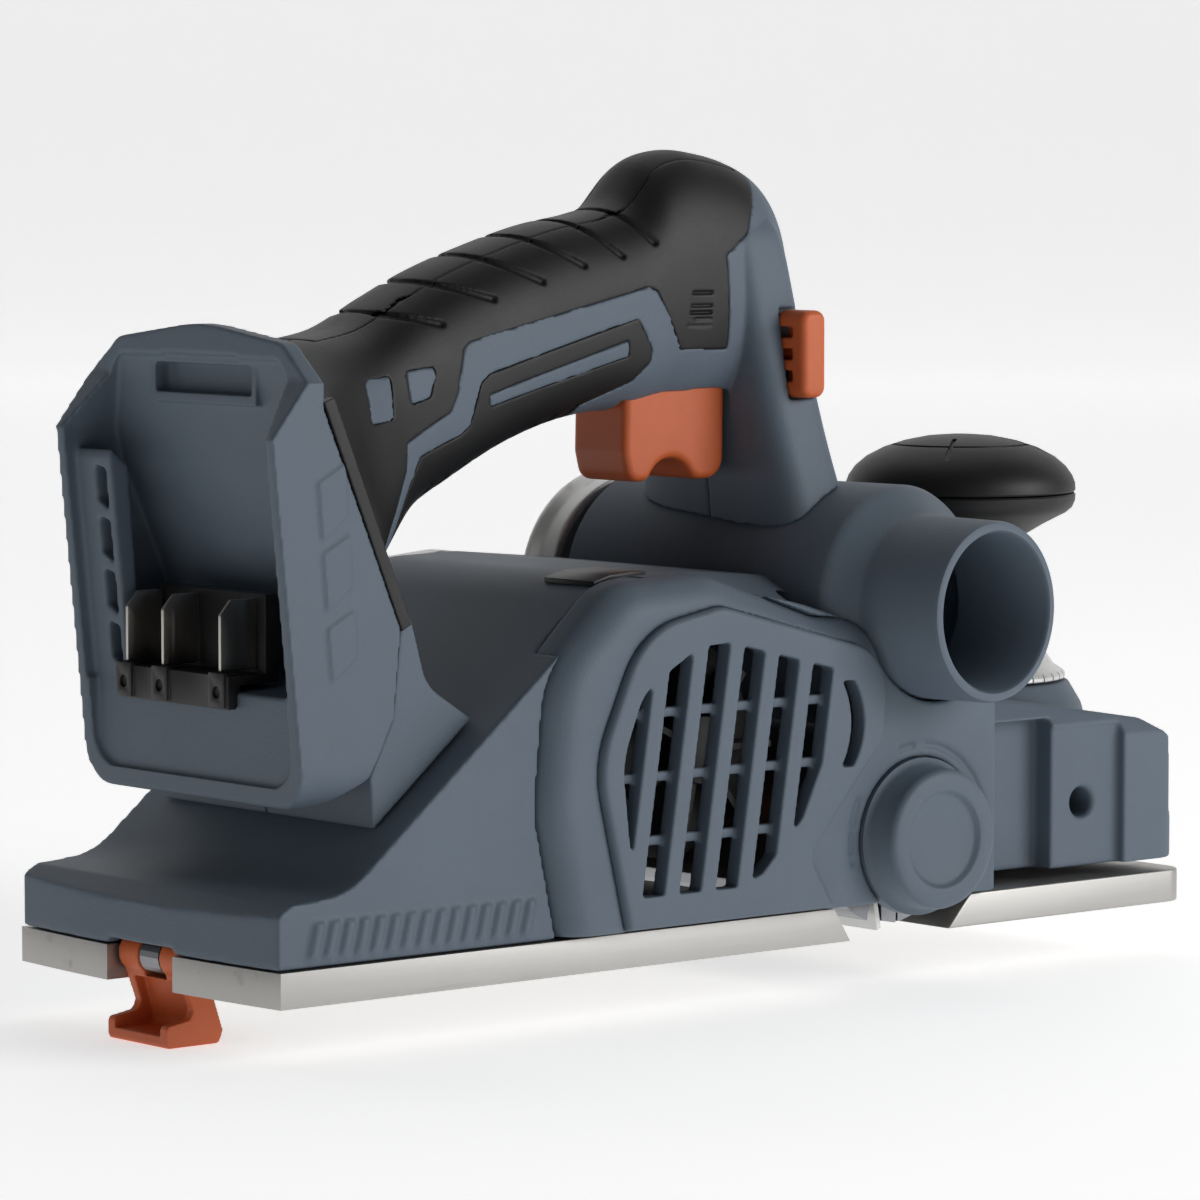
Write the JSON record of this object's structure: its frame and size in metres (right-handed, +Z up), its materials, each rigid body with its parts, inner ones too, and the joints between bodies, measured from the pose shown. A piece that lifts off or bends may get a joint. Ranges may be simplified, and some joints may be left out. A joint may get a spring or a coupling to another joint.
{
  "type": "cordless hand planer",
  "caption": "Cordless hand planer with a two-part sole, cutter drum, chip pipe, closed handle, depth knob and an open battery bay",
  "frame": {"origin": "underside of the rear sole, on its middle line, 80 mm ahead of its rear edge", "axes": "+X forward, the way the planer is pushed; +Y to its left; +Z up"},
  "size_m": [0.2728, 0.1258, 0.1908],
  "materials": {
    "shell": "fine texture, blue-grey",
    "rubber": "soft overmould",
    "orange": "satin orange",
    "aluminium": "ground",
    "bright": "brushed",
    "steel": "turned",
    "dark": "moulded",
    "brass": "stamped",
    "copper": "enamelled winding",
    "board": "circuit board"
  },
  "bodies": {
    "frame": {"rear_sole": "aluminium", "sole_screw_1": "steel", "sole_screw_2": "steel", "foot_pin": "steel", "foot_spring": "steel", "chip_duct": "shell", "side_cover": "shell", "vent_grille": "shell", "tail_housing": "shell", "control_board": "board", "motor_stator": "copper", "motor_bearing_right": "bright", "motor_bearing_left": "bright", "motor_bracket": "dark", "drive_belt": "rubber", "drum_bearing_right": "bright", "drum_bearing_left": "bright", "drum_frame": "aluminium", "drum_end_cap": "shell", "belt_cover": "bright", "cover_screw_1": "steel", "cover_screw_2": "steel", "front_housing": "shell", "shoe_spring_right": "steel", "shoe_spring_left": "steel", "handle_right": "shell", "handle_left": "shell", "grip_right": "rubber", "grip_left": "rubber", "grip_top_pad": "rubber", "trigger_spring": "steel", "switch_module": "dark", "battery_bay": "shell", "terminal_block": "dark", "terminal_positive": "brass", "terminal_sense": "brass", "terminal_negative": "brass"},
    "drum": {"cutter_drum": "steel", "knife_1": "bright", "knife_clamp_1": "steel", "knife_2": "bright", "knife_clamp_2": "steel", "drum_pulley": "steel"},
    "rotor": {"motor_rotor": "steel", "motor_shaft": "bright", "cooling_fan": "dark", "motor_pulley": "steel"},
    "knob": {"adjuster_screw": "steel", "scale_ring": "bright", "knob_lower": "rubber", "knob_upper": "rubber"},
    "shoe": {"front_shoe": "aluminium"},
    "trigger": {"trigger": "orange"},
    "lock_off": {"lock_off_button": "orange"},
    "foot": {"parking_foot": "orange"}
  },
  "joints": [
    {"name": "drum_spin", "type": "hinge", "parent": "frame", "child": "drum", "pos_m": [0.099, 0, 0.0228], "axis": [0, 1, 0], "continuous": true},
    {"name": "motor_spin", "type": "hinge", "parent": "frame", "child": "rotor", "pos_m": [0.04, 0, 0.046], "axis": [0, 1, 0], "continuous": true},
    {"name": "depth_turn", "type": "hinge", "parent": "frame", "child": "knob", "pos_m": [0.16, 0, 0.0968], "axis": [0, 0, 1], "range_deg": [0, 330]},
    {"name": "shoe_rise", "type": "slide", "parent": "frame", "child": "shoe", "axis": [0, 0, 1], "range_m": [0, 0.002], "deforming": ["shoe_spring_right", "shoe_spring_left"]},
    {"name": "trigger_pull", "type": "slide", "parent": "frame", "child": "trigger", "axis": [-0.2, 0, 0.9798], "range_m": [0, 0.005], "stiffness_N_per_m": 400, "springref_m": -0.004, "deforming": ["trigger_spring"]},
    {"name": "lock_off_press", "type": "slide", "parent": "frame", "child": "lock_off", "axis": [0, 1, 0], "range_m": [0, 0.0036], "stiffness_N_per_m": 250, "springref_m": -0.003},
    {"name": "foot_fold", "type": "hinge", "parent": "frame", "child": "foot", "pos_m": [-0.0757, 0, 0.006], "axis": [0, 1, 0], "range_deg": [0, 95], "stiffness_Nm_per_rad": 0.03, "springref_deg": -34.38}
  ],
  "couplings": [
    {"joint": "motor_spin", "follows": "drum_spin", "ratio": 1.8923},
    {"joint": "depth_turn", "follows": "shoe_rise", "rad_per_m": 2879.8}
  ]
}
